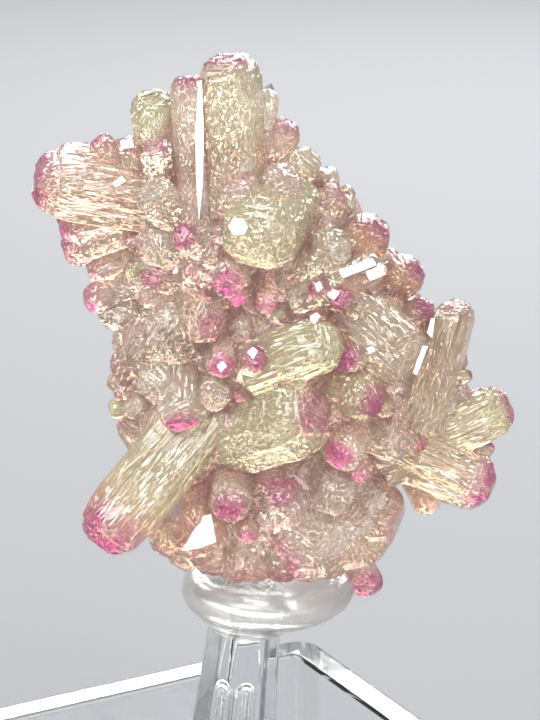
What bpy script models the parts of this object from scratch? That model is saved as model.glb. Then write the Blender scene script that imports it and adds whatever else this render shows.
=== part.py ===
"""Cluster of vesuvianite crystals, glued on a clear post that stands in a clear square tray."""

import math
from collections import namedtuple

import bmesh
import bpy
from mathutils import Matrix, Vector

MM = 0.001

# Driving dimensions, in millimetres unless the name says otherwise
TRAY_SIDE = 31.75
TRAY_HEIGHT = 5.8
TRAY_WALL = 1.1
TRAY_FLOOR = 1.1
TRAY_CORNER = 0.9
TRAY_INNER_CORNER = 0.35
TRAY_EDGE = 0.18
TRAY_CORNER_STEPS = 3

POST_TOP_SIDE = 1.53
POST_FOOT_SIDE = 2.75
POST_EDGE = 0.16
POST_CORE_TOP_RADIUS = 0.36
POST_CORE_FOOT_RADIUS = 0.62
POST_ABOVE_CORE = 1.9
POST_CORE_SEGMENTS = 14
POST_CORE_DOME_STEPS = 3

PAD_SEGMENTS = 24
PAD_THICKNESS = 1.25

GAP = 0.3

# How the specimen stands in its tray. The heart is the middle of the cluster's display side.
HEART_ACROSS = 4.76
HEART_ABOVE_RIM = 17.6
DISPLAY_TURN = math.radians(-29.2)
LOOK_DOWN = math.radians(18.0)
EYE_DISTANCE = 75.0

POST_TOP_ACROSS = -0.66
POST_TOP_HEIGHT = -7.75
POST_FOOT_ACROSS = -2.2
PAD_RIM_ACROSS = -0.08

RIGHT = Vector((math.cos(DISPLAY_TURN), math.sin(DISPLAY_TURN), 0.0))
FORE = Vector((math.sin(DISPLAY_TURN), -math.cos(DISPLAY_TURN), 0.0))
TO_EYE = FORE * math.cos(LOOK_DOWN) + Vector((0.0, 0.0, math.sin(LOOK_DOWN)))
SEEN_UP = TO_EYE.cross(RIGHT)
HEART = RIGHT * HEART_ACROSS + Vector((0.0, 0.0, TRAY_HEIGHT + HEART_ABOVE_RIM))

# Crystals, as the display side shows them. across and up are the tip's place beside the heart, and fore
# is how far it stands towards the viewer. heading is the way it points, in degrees anticlockwise from the
# right, and rise turns it towards the viewer. width is across the flats and depth through them.
Crystal = namedtuple("Crystal", "across up fore heading rise length width depth spin")

TOP_AND_LEFT = [
    Crystal(-1.0, 8.3, 0.3, 95, 12, 4.2, 1.75, 1.5, 10),
    Crystal(-2.2, 7.7, 0.5, 93, 8, 4.5, 0.8, 0.9, 35),
    Crystal(-3.2, 7.3, -0.6, 97, 0, 2.8, 1.2, 1.1, 0),
    Crystal(-6.4, 4.9, 0.2, 172, 6, 4.8, 1.95, 1.6, 20),
    Crystal(-5.7, 3.5, -0.2, 195, 5, 2.8, 1.05, 1.0, 15),
    Crystal(-5.6, 2.9, -0.4, 200, 0, 2.6, 0.95, 0.9, 40),
    Crystal(-4.9, 2.3, -0.3, 200, 0, 2.2, 0.75, 0.8, 20),
    Crystal(-5.0, 1.6, 0.2, 195, 15, 2.4, 0.78, 0.8, 25),
    Crystal(-4.3, -0.1, 0.7, 178, 15, 2.2, 0.75, 0.8, 5),
    Crystal(-4.1, -0.9, 0.4, 200, 10, 2.0, 0.7, 0.8, 30),
    Crystal(-3.95, -2.0, 0.5, 205, 5, 2.4, 0.85, 0.9, 10),
    Crystal(-4.25, 0.7, 0.0, 170, 5, 2.4, 0.95, 0.9, 20),
    Crystal(-4.05, -1.5, -0.1, 192, 0, 2.4, 0.95, 0.9, 0),
    Crystal(-4.6, 1.5, -0.4, 165, 0, 2.6, 1.1, 1.0, 30),
    Crystal(-3.4, -0.7, 1.5, 200, 42, 2.4, 1.35, 1.2, 10),
    Crystal(-3.5, 3.3, 1.2, 165, 35, 2.4, 1.2, 1.1, 20),
    Crystal(-4.7, 6.0, -0.3, 130, 0, 2.2, 0.6, 0.7, 20),
    Crystal(-3.9, 6.0, 0.3, 110, 20, 2.0, 0.65, 0.7, 45),
    Crystal(-3.1, 5.9, 0.8, 95, 35, 1.9, 0.75, 0.8, 15),
    Crystal(-3.3, 4.6, 1.6, 140, 50, 2.2, 1.1, 1.1, 30),
    Crystal(-3.8, 0.8, 1.4, 150, 40, 2.2, 1.1, 1.1, 10),
    Crystal(-2.9, 1.2, 2.0, 120, 58, 2.2, 1.2, 1.2, 40),
]

LOWER_LEFT = [
    Crystal(-2.4, -1.8, 2.3, 272, 35, 3.2, 1.2, 1.1, 5),
    Crystal(-4.7, -5.0, 2.2, 229, 22, 5.4, 1.72, 1.5, 15),
    Crystal(-2.0, -4.9, 2.3, 262, 60, 2.8, 1.5, 1.4, 20),
    Crystal(-3.0, -5.2, 1.1, 238, 20, 2.4, 1.0, 1.0, 10),
    Crystal(-1.1, -4.1, 2.5, 265, 58, 2.6, 1.15, 1.1, 35),
    Crystal(-0.6, -4.8, 2.3, 270, 55, 1.8, 0.55, 0.6, 0),
    Crystal(-1.0, -6.0, 1.6, 262, 15, 2.4, 0.8, 0.8, 15),
    Crystal(-0.4, -6.0, 1.7, 270, 15, 2.4, 0.78, 0.8, 40),
    Crystal(-1.75, -5.75, 1.3, 250, 20, 2.4, 1.1, 1.0, 5),
    Crystal(-2.5, -5.6, 1.0, 240, 12, 2.6, 0.95, 0.9, 30),
    Crystal(-1.6, -1.1, 2.2, 250, 60, 2.0, 0.95, 0.9, 20),
]

MIDDLE = [
    Crystal(1.3, -1.4, 3.0, 18, 44, 3.0, 2.0, 1.7, 10),
    Crystal(1.95, 0.6, 2.1, 20, 18, 3.2, 1.35, 1.2, 0),
    Crystal(-0.7, 3.4, 2.8, 205, 56, 3.6, 2.0, 1.8, 25),
    Crystal(-1.2, 2.0, 2.4, 250, 60, 2.2, 0.9, 0.9, 15),
    Crystal(-0.9, 1.6, 2.1, 260, 55, 1.8, 0.5, 0.5, 0),
    Crystal(-0.1, 1.4, 2.0, 270, 50, 1.8, 0.62, 0.6, 30),
    Crystal(-2.4, 3.4, 2.0, 150, 62, 2.0, 0.75, 0.7, 10),
    Crystal(-3.2, 2.2, 1.7, 170, 58, 1.9, 0.6, 0.6, 25),
    Crystal(-1.5, 0.9, 2.3, 330, 52, 2.2, 1.15, 1.1, 35),
    Crystal(-1.3, -0.2, 2.8, 280, 68, 2.0, 0.75, 0.7, 20),
    Crystal(-0.4, 0.1, 2.7, 60, 72, 2.0, 0.72, 0.7, 5),
    Crystal(1.25, 2.0, 2.1, 130, 58, 1.9, 0.55, 0.6, 15),
    Crystal(1.85, 1.7, 2.3, 160, 58, 1.9, 0.7, 0.7, 30),
    Crystal(1.2, 1.1, 2.0, 200, 55, 1.7, 0.5, 0.5, 10),
    Crystal(1.95, 0.0, 2.4, 180, 52, 1.9, 0.6, 0.9, 0),
    Crystal(-0.8, 5.0, 1.6, 85, 45, 2.2, 1.2, 1.1, 20),
    Crystal(0.5, 5.1, 1.5, 60, 45, 2.3, 1.1, 1.0, 40),
]

UPPER_RIGHT = [
    Crystal(0.0, 7.3, -0.6, 80, 0, 2.6, 0.55, 0.6, 15),
    Crystal(0.5, 6.5, -0.5, 65, 5, 2.6, 0.85, 0.9, 30),
    Crystal(1.2, 5.6, 0.4, 45, 15, 2.6, 1.05, 1.0, 10),
    Crystal(1.9, 4.65, 0.1, 50, 10, 2.4, 0.85, 0.9, 25),
    Crystal(3.0, 3.75, 0.6, 48, 20, 2.8, 1.35, 1.2, 15),
    Crystal(4.0, 2.65, 0.3, 42, 12, 2.6, 1.1, 1.0, 35),
    Crystal(3.0, 2.6, 1.7, 22, 15, 2.6, 0.85, 0.8, 5),
    Crystal(4.3, 1.5, 1.3, 40, 38, 2.0, 0.75, 0.7, 20),
    Crystal(5.1, 1.6, 0.4, 75, 12, 3.6, 1.35, 1.0, 0),
    Crystal(3.9, -0.2, 1.9, 318, 25, 3.2, 1.5, 1.3, 10),
    Crystal(3.3, 1.6, 1.8, 60, 45, 2.2, 1.2, 1.1, 30),
    Crystal(1.9, 3.2, 1.7, 40, 48, 2.2, 1.2, 1.1, 15),
]

LOWER_RIGHT = [
    Crystal(2.9, -1.15, 2.8, 335, 48, 2.6, 1.2, 1.1, 20),
    Crystal(1.8, -2.6, 2.7, 215, 60, 2.4, 1.05, 1.0, 10),
    Crystal(2.4, -3.2, 2.1, 250, 50, 1.8, 0.5, 0.5, 30),
    Crystal(0.3, -3.4, 2.3, 100, 55, 2.4, 1.05, 1.0, 0),
    Crystal(0.35, -5.5, 1.9, 218, 22, 3.2, 1.9, 1.6, 15),
    Crystal(3.5, -4.35, 0.8, 342, 15, 2.8, 1.7, 1.4, 5),
    Crystal(3.1, -5.2, 0.7, 322, 10, 2.8, 1.35, 1.2, 20),
    Crystal(2.8, -6.3, 1.2, 300, 18, 2.4, 0.78, 0.8, 10),
    Crystal(2.3, -5.6, 1.3, 282, 20, 2.4, 1.3, 1.1, 0),
    Crystal(6.5, -1.15, 0.2, 25, 5, 3.9, 1.4, 1.2, 20),
    Crystal(5.95, -2.2, 0.1, 50, 0, 1.7, 0.42, 0.5, 0),
    Crystal(6.0, -3.5, 1.1, 336, 12, 4.6, 1.55, 1.4, 10),
    Crystal(4.4, -4.1, -0.2, 300, 0, 2.2, 0.95, 0.5, 0),
    Crystal(5.35, -0.7, 0.4, 40, 10, 2.0, 0.65, 0.6, 30),
    Crystal(1.9, -3.9, 2.1, 300, 50, 2.4, 1.25, 1.2, 20),
    Crystal(3.6, -2.4, 2.0, 330, 45, 2.2, 1.1, 1.0, 5),
    Crystal(0.3, -6.0, 1.7, 268, 15, 2.6, 0.8, 0.8, 10),
    Crystal(1.05, -6.0, 1.6, 275, 15, 2.4, 0.8, 0.8, 35),
    Crystal(1.75, -5.9, 1.3, 285, 12, 2.2, 0.75, 0.8, 20),
]

# The grown-together middle, as overlapping lumps: across, up, fore and three half sizes
LUMPS = [
    (-1.6, 3.4, -0.5, 2.3, 2.4, 1.8),
    (0.4, 0.4, -0.4, 3.6, 3.3, 2.1),
    (0.4, -3.4, -0.1, 2.7, 2.2, 1.9),
    (-2.2, -0.6, -0.2, 1.8, 2.8, 1.8),
    (3.0, -0.6, -0.3, 2.1, 2.3, 1.6),
    (0.5, 3.3, -0.4, 1.8, 1.9, 1.5),
]

# Crystals of the far side, spread evenly over the back of each lump
BACK_SPACING = 1.62
BACK_FROM = 0.25
BACK_PROUD = 1.16
BACK_BURIED = 1.05
BACK_LOWEST = -5.5
BACK_LENGTH = 1.9
BACK_WIDTHS = (1.6, 1.2, 1.9, 1.4, 1.05)
GOLDEN_ANGLE = math.pi * (3 - math.sqrt(5))

# Form of one crystal: eight-sided, with narrow faces on its corners and a low stepped end
CORNER_SHARE = 0.24
SHOULDER_INSET = 0.32
SHOULDER_DROP = 0.10
FLANK_DROP = 0.40
END_INSET = 0.32
PLAIN_END_INSET = 0.25
STEPPED_FROM = 1.0


def clear_scene():
    for old in list(bpy.data.objects):
        bpy.data.objects.remove(old)


def material(name, colour, roughness, transmission=0.0, ior=1.5):
    made = bpy.data.materials.new(name)
    made.use_nodes = True
    shader = made.node_tree.nodes["Principled BSDF"]
    shader.inputs["Base Color"].default_value = (*colour, 1.0)
    shader.inputs["Roughness"].default_value = roughness
    shader.inputs["Metallic"].default_value = 0.0
    shader.inputs["Transmission Weight"].default_value = transmission
    shader.inputs["IOR"].default_value = ior
    return made


def object_of(name, mesh_in_mm, finish=None, scale=MM):
    """An object whose mesh was drawn in millimetres."""
    mesh_in_mm.transform(Matrix.Scale(scale, 4))
    mesh = bpy.data.meshes.new(name)
    mesh_in_mm.to_mesh(mesh)
    mesh_in_mm.free()
    made = bpy.data.objects.new(name, mesh)
    bpy.context.scene.collection.objects.link(made)
    if finish:
        mesh.materials.append(finish)
    return made


def seen_at(across, up, fore):
    """The point on the viewer's line of sight through (across, up) that stands fore of the heart."""
    eye = TO_EYE * EYE_DISTANCE
    sight = RIGHT * across + SEEN_UP * up - eye
    along = (fore - eye.dot(FORE)) / sight.dot(FORE)
    return HEART + eye + sight * along


def beside_heart(across, height, fore=0.0):
    return HEART + RIGHT * across + FORE * fore + Vector((0.0, 0.0, height))


def pointing(heading, rise):
    heading, rise = math.radians(heading), math.radians(rise)
    in_picture = RIGHT * math.cos(heading) + SEEN_UP * math.sin(heading)
    return in_picture * math.cos(rise) + TO_EYE * math.sin(rise)


def loft(mesh, rings):
    """Closed skin over rings of equal point counts, with a face on the first and the last."""
    made = [[mesh.verts.new(point) for point in ring] for ring in rings]
    count = len(made[0])
    for lower, upper in zip(made, made[1:]):
        for i in range(count):
            j = (i + 1) % count
            mesh.faces.new((lower[i], lower[j], upper[j], upper[i]))
    mesh.faces.new(list(reversed(made[0])))
    mesh.faces.new(made[-1])
    return made


def octagon(width, depth, corner):
    """A rectangle with its corners cut, as flat points."""
    x, y = width / 2, depth / 2
    return [
        (x, y - corner),
        (x - corner, y),
        (corner - x, y),
        (-x, y - corner),
        (-x, corner - y),
        (corner - x, -y),
        (x - corner, -y),
        (x, corner - y),
    ]


def add_crystal(mesh, tip, direction, length, width, depth, spin, stepped_from=STEPPED_FROM):
    """One prism whose end face is at tip. Its far end is meant to lie inside the cluster."""
    direction = direction.normalized()
    side = direction.orthogonal().normalized()
    turned = Matrix.Rotation(math.radians(spin), 3, direction) @ side
    other = direction.cross(turned)
    thin = min(width, depth)
    corner = CORNER_SHARE * thin

    def ring(back, inset):
        flat = octagon(width - 2 * inset, depth - 2 * inset, corner * (1 - inset / thin))
        return [tip - direction * back + turned * x + other * y for x, y in flat]

    rings = [ring(length, 0.0), ring(FLANK_DROP * thin, 0.0)]
    stepped = thin > stepped_from
    if stepped:
        rings.append(ring(SHOULDER_DROP * thin, SHOULDER_INSET * thin / 2))
    rings.append(ring(0.0, thin * (END_INSET if stepped else PLAIN_END_INSET)))
    loft(mesh, rings)


def add_lump(mesh, lump):
    bmesh.ops.create_icosphere(mesh, subdivisions=2, radius=1.0, matrix=lump_place(lump))


def lump_place(lump):
    """The matrix that turns a unit ball into the lump."""
    across, up, fore, *half_sizes = lump
    basis = Matrix((RIGHT, SEEN_UP, TO_EYE)).transposed()
    shape = basis @ Matrix.Diagonal(half_sizes)
    return Matrix.Translation(seen_at(across, up, fore)) @ shape.to_4x4()


def spots_on(lump):
    """How many crystals would cover the whole lump."""
    a, b, c = lump[3:]
    mean_square = (a * b + b * c + c * a) / 3
    return round(4 * math.pi * mean_square / BACK_SPACING**2)


def back_crystals():
    """Tips and directions over the side of each lump that faces away from the viewer."""
    places = [lump_place(lump) for lump in LUMPS]
    inverses = [place.inverted() for place in places]
    made = 0
    for own, (place, lump) in enumerate(zip(places, LUMPS)):
        others = [inverse for i, inverse in enumerate(inverses) if i != own]
        spots = spots_on(lump)
        for i in range(spots):
            out = 1 - 2 * (i + 0.5) / spots
            if out > BACK_FROM:
                continue
            reach = math.sqrt(1 - out * out)
            unit = Vector((math.cos(i * GOLDEN_ANGLE) * reach, math.sin(i * GOLDEN_ANGLE) * reach, out))
            tip = place @ (unit * BACK_PROUD)
            buried = any((inverse @ tip).length < BACK_BURIED for inverse in others)
            if buried or tip.z - HEART.z < BACK_LOWEST:
                continue
            direction = RIGHT * unit.x + SEEN_UP * unit.y + TO_EYE * unit.z
            width = BACK_WIDTHS[made % len(BACK_WIDTHS)]
            yield tip, direction, BACK_LENGTH, width, width * 0.9, 17 * made, BACK_LENGTH
            made += 1


def helper(name, mesh_in_mm, scale=MM):
    made = object_of(name, mesh_in_mm, scale=scale)
    made.hide_render = True
    made.display_type = "WIRE"
    return made


def keep_outer_skin(made):
    """Drops closed pockets between the crystals, which would be sealed hollows in the solid."""
    mesh = bmesh.new()
    mesh.from_mesh(made.data)
    left = set(mesh.verts)
    skins = []
    while left:
        skin = {left.pop()}
        edge = list(skin)
        while edge:
            near = {e.other_vert(v) for v in edge for e in v.link_edges} - skin
            skin |= near
            edge = list(near)
        left -= skin
        skins.append(skin)
    skins.sort(key=len)
    for skin in skins[:-1]:
        bmesh.ops.delete(mesh, geom=list(skin), context="VERTS")
    mesh.to_mesh(made.data)
    mesh.free()


def build_cluster():
    pieces = bpy.data.collections.new("crystals before joining")
    bpy.context.scene.collection.children.link(pieces)
    shapes = []
    for crystal in TOP_AND_LEFT + LOWER_LEFT + MIDDLE + UPPER_RIGHT + LOWER_RIGHT:
        tip = seen_at(crystal.across, crystal.up, crystal.fore)
        direction = pointing(crystal.heading, crystal.rise)
        shapes.append((tip, direction, *crystal[5:]))
    shapes.extend(back_crystals())
    for number, shape in enumerate(shapes):
        mesh = bmesh.new()
        add_crystal(mesh, *shape)
        made = helper(f"crystal_{number}", mesh, scale=1.0)
        bpy.context.scene.collection.objects.unlink(made)
        pieces.objects.link(made)
    for number, lump in enumerate(LUMPS[1:]):
        mesh = bmesh.new()
        add_lump(mesh, lump)
        made = helper(f"lump_{number}", mesh, scale=1.0)
        bpy.context.scene.collection.objects.unlink(made)
        pieces.objects.link(made)
    mesh = bmesh.new()
    add_lump(mesh, LUMPS[0])
    rose = material("vesuvianite", (0.86, 0.66, 0.60), 0.12, 0.6, 1.71)
    cluster = object_of("crystal_cluster", mesh, rose, scale=1.0)
    join = cluster.modifiers.new("join", "BOOLEAN")
    join.operation = "UNION"
    join.operand_type = "COLLECTION"
    join.collection = pieces
    join.solver = "EXACT"
    bpy.context.view_layer.objects.active = cluster
    bpy.ops.object.modifier_apply(modifier=join.name)
    for made in list(pieces.objects):
        bpy.data.objects.remove(made)
    bpy.data.collections.remove(pieces)
    keep_outer_skin(cluster)
    cluster.data.transform(Matrix.Scale(MM, 4))
    return cluster


def build_pad():
    """A flattened blob of set glue: a round lip over a short cone that is as wide as the post below."""
    bottom = POST_TOP_HEIGHT + GAP
    steps = [
        (0.0, POST_TOP_ACROSS, 1.0),
        (0.10, POST_TOP_ACROSS, 1.14),
        (0.42, -0.28, 1.95),
        (0.62, PAD_RIM_ACROSS, 2.28),
        (0.85, PAD_RIM_ACROSS, 2.42),
        (1.08, PAD_RIM_ACROSS, 2.36),
        (PAD_THICKNESS, PAD_RIM_ACROSS, 2.14),
        (PAD_THICKNESS, PAD_RIM_ACROSS, 1.9),
        (PAD_THICKNESS - 0.15, PAD_RIM_ACROSS, 1.5),
    ]
    rings = []
    for height, across, radius in steps:
        centre = beside_heart(across, bottom + height)
        ring = []
        for i in range(PAD_SEGMENTS):
            angle = 2 * math.pi * i / PAD_SEGMENTS
            ring.append(centre + RIGHT * math.cos(angle) * radius - FORE * math.sin(angle) * radius)
        rings.append(ring)
    mesh = bmesh.new()
    loft(mesh, rings)
    milky = material("set_glue", (0.80, 0.78, 0.76), 0.22, 0.5, 1.48)
    return object_of("glue_pad", mesh, milky)


def square_ring(centre, side, corner):
    flat = octagon(side, side, corner)
    return [centre + Vector((x, y, 0.0)) for x, y in flat]


def circle(centre, radius, count):
    angles = [2 * math.pi * i / count for i in range(count)]
    return [centre + Vector((math.cos(a), math.sin(a), 0.0)) * radius for a in angles]


def post_core(foot, top):
    """The round-ended hollow that runs up the post from its foot."""
    axis = (top - foot).normalized()
    core_top = top - axis * POST_ABOVE_CORE
    rings = [circle(foot - axis, POST_CORE_FOOT_RADIUS, POST_CORE_SEGMENTS)]
    for i in range(POST_CORE_DOME_STEPS):
        angle = math.pi / 2 * i / POST_CORE_DOME_STEPS
        centre = core_top - axis * POST_CORE_TOP_RADIUS * (1 - math.sin(angle))
        radius = POST_CORE_TOP_RADIUS * math.cos(angle)
        rings.append(circle(centre, radius, POST_CORE_SEGMENTS))
    mesh = bmesh.new()
    loft(mesh, rings)
    return helper("post_core_cutter", mesh)


def build_post():
    foot = beside_heart(POST_FOOT_ACROSS, 0.0)
    foot.z = TRAY_FLOOR + GAP
    top = beside_heart(POST_TOP_ACROSS, POST_TOP_HEIGHT)
    sides = [
        square_ring(foot, POST_FOOT_SIDE, POST_EDGE),
        square_ring(top, POST_TOP_SIDE, POST_EDGE),
    ]
    mesh = bmesh.new()
    loft(mesh, sides)
    clear = material("clear_post_plastic", (0.93, 0.94, 0.94), 0.06, 0.9, 1.49)
    post = object_of("post", mesh, clear)
    cut = post.modifiers.new("core", "BOOLEAN")
    cut.operation = "DIFFERENCE"
    cut.object = post_core(foot, top)
    cut.solver = "EXACT"
    return post


def rounded_square(side, radius, height):
    """Outline of a square with round corners, as points at one height."""
    half = side / 2 - radius
    points = []
    for quarter in range(4):
        turn = Matrix.Rotation(math.pi / 2 * quarter, 3, "Z")
        for i in range(TRAY_CORNER_STEPS + 1):
            angle = math.pi / 2 * i / TRAY_CORNER_STEPS
            point = Vector((half + math.cos(angle) * radius, half + math.sin(angle) * radius, height))
            points.append(turn @ point)
    return points


def build_tray():
    inner = TRAY_SIDE - 2 * TRAY_WALL
    edge = TRAY_EDGE
    rings = [
        rounded_square(TRAY_SIDE - 2 * edge, TRAY_CORNER - edge, 0.0),
        rounded_square(TRAY_SIDE, TRAY_CORNER, edge),
        rounded_square(TRAY_SIDE, TRAY_CORNER, TRAY_HEIGHT - edge),
        rounded_square(TRAY_SIDE - 2 * edge, TRAY_CORNER - edge, TRAY_HEIGHT),
        rounded_square(inner + 2 * edge, TRAY_INNER_CORNER + edge, TRAY_HEIGHT),
        rounded_square(inner, TRAY_INNER_CORNER, TRAY_HEIGHT - edge),
        rounded_square(inner, TRAY_INNER_CORNER, TRAY_FLOOR + edge),
        rounded_square(inner - 2 * edge, TRAY_INNER_CORNER, TRAY_FLOOR),
    ]
    mesh = bmesh.new()
    loft(mesh, rings)
    clear = material("clear_box_plastic", (0.94, 0.95, 0.95), 0.08, 0.9, 1.49)
    return object_of("box_base", mesh, clear)


def main():
    clear_scene()
    build_cluster()
    build_pad()
    build_post()
    build_tray()


main()
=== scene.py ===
# %% [markdown]
# # A vesuvianite specimen on its display stand
# The real object is small: a cluster of glassy crystals 15 mm tall, glued on a clear plastic post
# that stands in the base of a clear specimen box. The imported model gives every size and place, so
# it is loaded first and kept as a fixed frame that the finished pieces are built around.

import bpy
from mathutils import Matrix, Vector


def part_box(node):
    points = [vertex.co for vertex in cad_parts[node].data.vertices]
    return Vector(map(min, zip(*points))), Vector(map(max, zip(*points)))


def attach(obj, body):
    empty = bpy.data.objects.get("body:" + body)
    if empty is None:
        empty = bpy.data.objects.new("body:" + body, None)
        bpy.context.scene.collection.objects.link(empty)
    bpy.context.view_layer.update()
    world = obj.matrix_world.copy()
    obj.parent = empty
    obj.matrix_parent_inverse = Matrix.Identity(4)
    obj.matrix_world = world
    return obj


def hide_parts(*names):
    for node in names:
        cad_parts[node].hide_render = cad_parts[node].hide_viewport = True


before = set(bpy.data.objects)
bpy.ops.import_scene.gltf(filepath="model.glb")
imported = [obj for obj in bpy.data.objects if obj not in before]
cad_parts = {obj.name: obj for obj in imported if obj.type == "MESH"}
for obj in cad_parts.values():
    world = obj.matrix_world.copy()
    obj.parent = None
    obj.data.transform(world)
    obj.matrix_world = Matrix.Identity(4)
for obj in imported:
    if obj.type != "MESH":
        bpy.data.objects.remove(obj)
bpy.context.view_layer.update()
print("pieces in the frame:", sorted(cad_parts))

# %% Modules of the lesson
import math
import random

import bmesh
import bpy
import numpy as np
from mathutils import Matrix, Vector
from mathutils.bvhtree import BVHTree

# %% [markdown]
# ## Where the viewer stands
# A specimen is mounted to show its best side. The stand is turned 29 degrees, and the eye looks down
# at it by 18 degrees from only 75 mm away, so perspective is strong. All modelling is done in
# millimetres round the heart of the display side, because Blender's edit tools work badly on
# crystals that are a thousandth of a unit wide. A finished piece is scaled to metres at the end.

# %% Directions and the heart of the cluster
MM = 0.001
DISPLAY_TURN = math.radians(-29.2)
LOOK_DOWN = math.radians(18.0)
EYE_DISTANCE = 75.0
HEART_ACROSS = 4.76
HEART_ABOVE_RIM = 17.6

RIGHT = Vector((math.cos(DISPLAY_TURN), math.sin(DISPLAY_TURN), 0.0))
FORE = Vector((math.sin(DISPLAY_TURN), -math.cos(DISPLAY_TURN), 0.0))
TO_EYE = FORE * math.cos(LOOK_DOWN) + Vector((0.0, 0.0, math.sin(LOOK_DOWN)))
SEEN_UP = TO_EYE.cross(RIGHT)
tray_low, tray_high = [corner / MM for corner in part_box("box_base")]
HEART = RIGHT * HEART_ACROSS + Vector((0.0, 0.0, tray_high.z + HEART_ABOVE_RIM))
EYE = HEART + TO_EYE * EYE_DISTANCE


def seen_at(across, up, fore):
    """The point on the line of sight through (across, up) that stands fore of the heart."""
    sight = HEART + RIGHT * across + SEEN_UP * up - EYE
    along = (fore - (EYE - HEART).dot(FORE)) / sight.dot(FORE)
    return EYE + sight * along


def pointing(heading, rise):
    """A direction: heading is anticlockwise from the right, and rise turns it to the viewer."""
    heading, rise = math.radians(heading), math.radians(rise)
    in_picture = RIGHT * math.cos(heading) + SEEN_UP * math.sin(heading)
    return in_picture * math.cos(rise) + TO_EYE * math.sin(rise)


print("heart of the cluster, mm:", [round(x, 2) for x in HEART])

# %% [markdown]
# ## Camera, floor and light
# A long lens at 37 picture points to the millimetre gives the narrow view of a close photograph.
# The specimen stands on a plain pale floor. One soft panel from the upper left is small enough for
# flat crystal faces to flash white, a wide one fills from the right, and one behind the specimen
# shines through it, which is what makes thin crystal edges glow.

# %% Camera
POINTS_PER_MM = 37.0
PICTURE_HEIGHT = 720
SENSOR = 36.0

camera_data = bpy.data.cameras.new("camera")
camera_data.sensor_width = SENSOR
camera_data.lens = SENSOR * EYE_DISTANCE * POINTS_PER_MM / PICTURE_HEIGHT
camera_data.clip_start = 0.002
camera = bpy.data.objects.new("camera", camera_data)
camera.location = EYE * MM
camera.rotation_mode = "QUATERNION"
camera.rotation_quaternion = TO_EYE.to_track_quat("Z", "Y")
bpy.context.scene.collection.objects.link(camera)
bpy.context.scene.camera = camera
print("lens, mm:", round(camera_data.lens, 2))

# %% Floor and surroundings
FLOOR_SIDE = 4.0
FLOOR_DROP = 0.00002
FLOOR_MIDDLE = (0.6, 0.1)

bpy.ops.object.select_all(action="DESELECT")
bpy.ops.mesh.primitive_plane_add(size=FLOOR_SIDE, location=(*FLOOR_MIDDLE, -FLOOR_DROP))
floor = bpy.context.object
floor.name = "floor"
floor_paint = bpy.data.materials.new("floor_paint")
floor_paint.use_nodes = True
floor_shader = floor_paint.node_tree.nodes["Principled BSDF"]
floor_shader.inputs["Base Color"].default_value = (0.19, 0.193, 0.20, 1)
floor_shader.inputs["Roughness"].default_value = 0.9
floor.data.materials.append(floor_paint)

world = bpy.data.worlds.new("pale room")
world.use_nodes = True
world.node_tree.nodes["Background"].inputs["Color"].default_value = (0.89, 0.90, 0.92, 1)
world.node_tree.nodes["Background"].inputs["Strength"].default_value = 0.75
bpy.context.scene.world = world
bpy.context.scene.view_settings.view_transform = "Standard"

# %% Soft panels
def soft_panel(name, heading, rise, distance, wide, tall, brightness, colour=(1, 1, 1)):
    """A rectangle of light that faces the heart. Distances are in millimetres."""
    light = bpy.data.lights.new(name, "AREA")
    light.shape = "RECTANGLE"
    light.size = wide * MM
    light.size_y = tall * MM
    light.energy = brightness * math.pi * light.size * light.size_y
    light.color = colour
    made = bpy.data.objects.new(name, light)
    direction = pointing(heading, rise)
    made.location = (HEART + direction * distance) * MM
    made.rotation_mode = "QUATERNION"
    made.rotation_quaternion = direction.to_track_quat("Z", "Y")
    made.visible_camera = False
    bpy.context.scene.collection.objects.link(made)
    return made


lamps = {
    "key": soft_panel("key", 118, 42, 190, 90, 90, 15),
    "side": soft_panel("side", 177, 16, 210, 60, 110, 9),
    "front": soft_panel("front", 62, 66, 200, 55, 55, 13),
    "fill": soft_panel("fill", -8, 40, 260, 200, 200, 2.8),
    "back": soft_panel("back", 80, -38, 200, 150, 110, 14),
}

# %% [markdown]
# ## The habit of one crystal
# Vesuvianite grows as stout square prisms. Narrow faces cut their corners, and here the ends are low
# domes of many small faces. A crystal could be turned on a lathe and left smooth, but the flat faces
# are what sparkles. So each form is modelled by hand from a cube: its upright edges are bevelled,
# its top is pushed up in growth bands, and the end is stepped in by insets.
# Each master is one wide, one deep and three long, with its tip at the origin.

# %% Helpers for working in edit mode
def only(piece):
    bpy.ops.object.select_all(action="DESELECT")
    piece.select_set(True)
    bpy.context.view_layer.objects.active = piece


def edit(piece):
    only(piece)
    bpy.ops.object.mode_set(mode="EDIT")
    bpy.ops.mesh.select_all(action="DESELECT")


def leave_edit():
    bpy.ops.object.mode_set(mode="OBJECT")


def pick(kind, test):
    """Selects the points, edges or faces of the edited mesh that pass the test, and nothing else."""
    bpy.ops.mesh.select_all(action="DESELECT")
    bpy.ops.mesh.select_mode(type=kind)
    mesh = bmesh.from_edit_mesh(bpy.context.object.data)
    group = {"VERT": mesh.verts, "EDGE": mesh.edges, "FACE": mesh.faces}[kind]
    for part in group:
        if test(part):
            part.select_set(True)
    mesh.select_flush_mode()
    bmesh.update_edit_mesh(bpy.context.object.data)


def upright(edge):
    low, high = sorted(vert.co.z for vert in edge.verts)
    return high - low > 0.5


def topmost(face):
    mesh = bmesh.from_edit_mesh(bpy.context.object.data)
    return face.calc_center_median().z > max(vert.co.z for vert in mesh.verts) - 0.001


# %% One crystal form
LENGTH = 3.0
HEAD = 0.42
CORNER = 0.24


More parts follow.
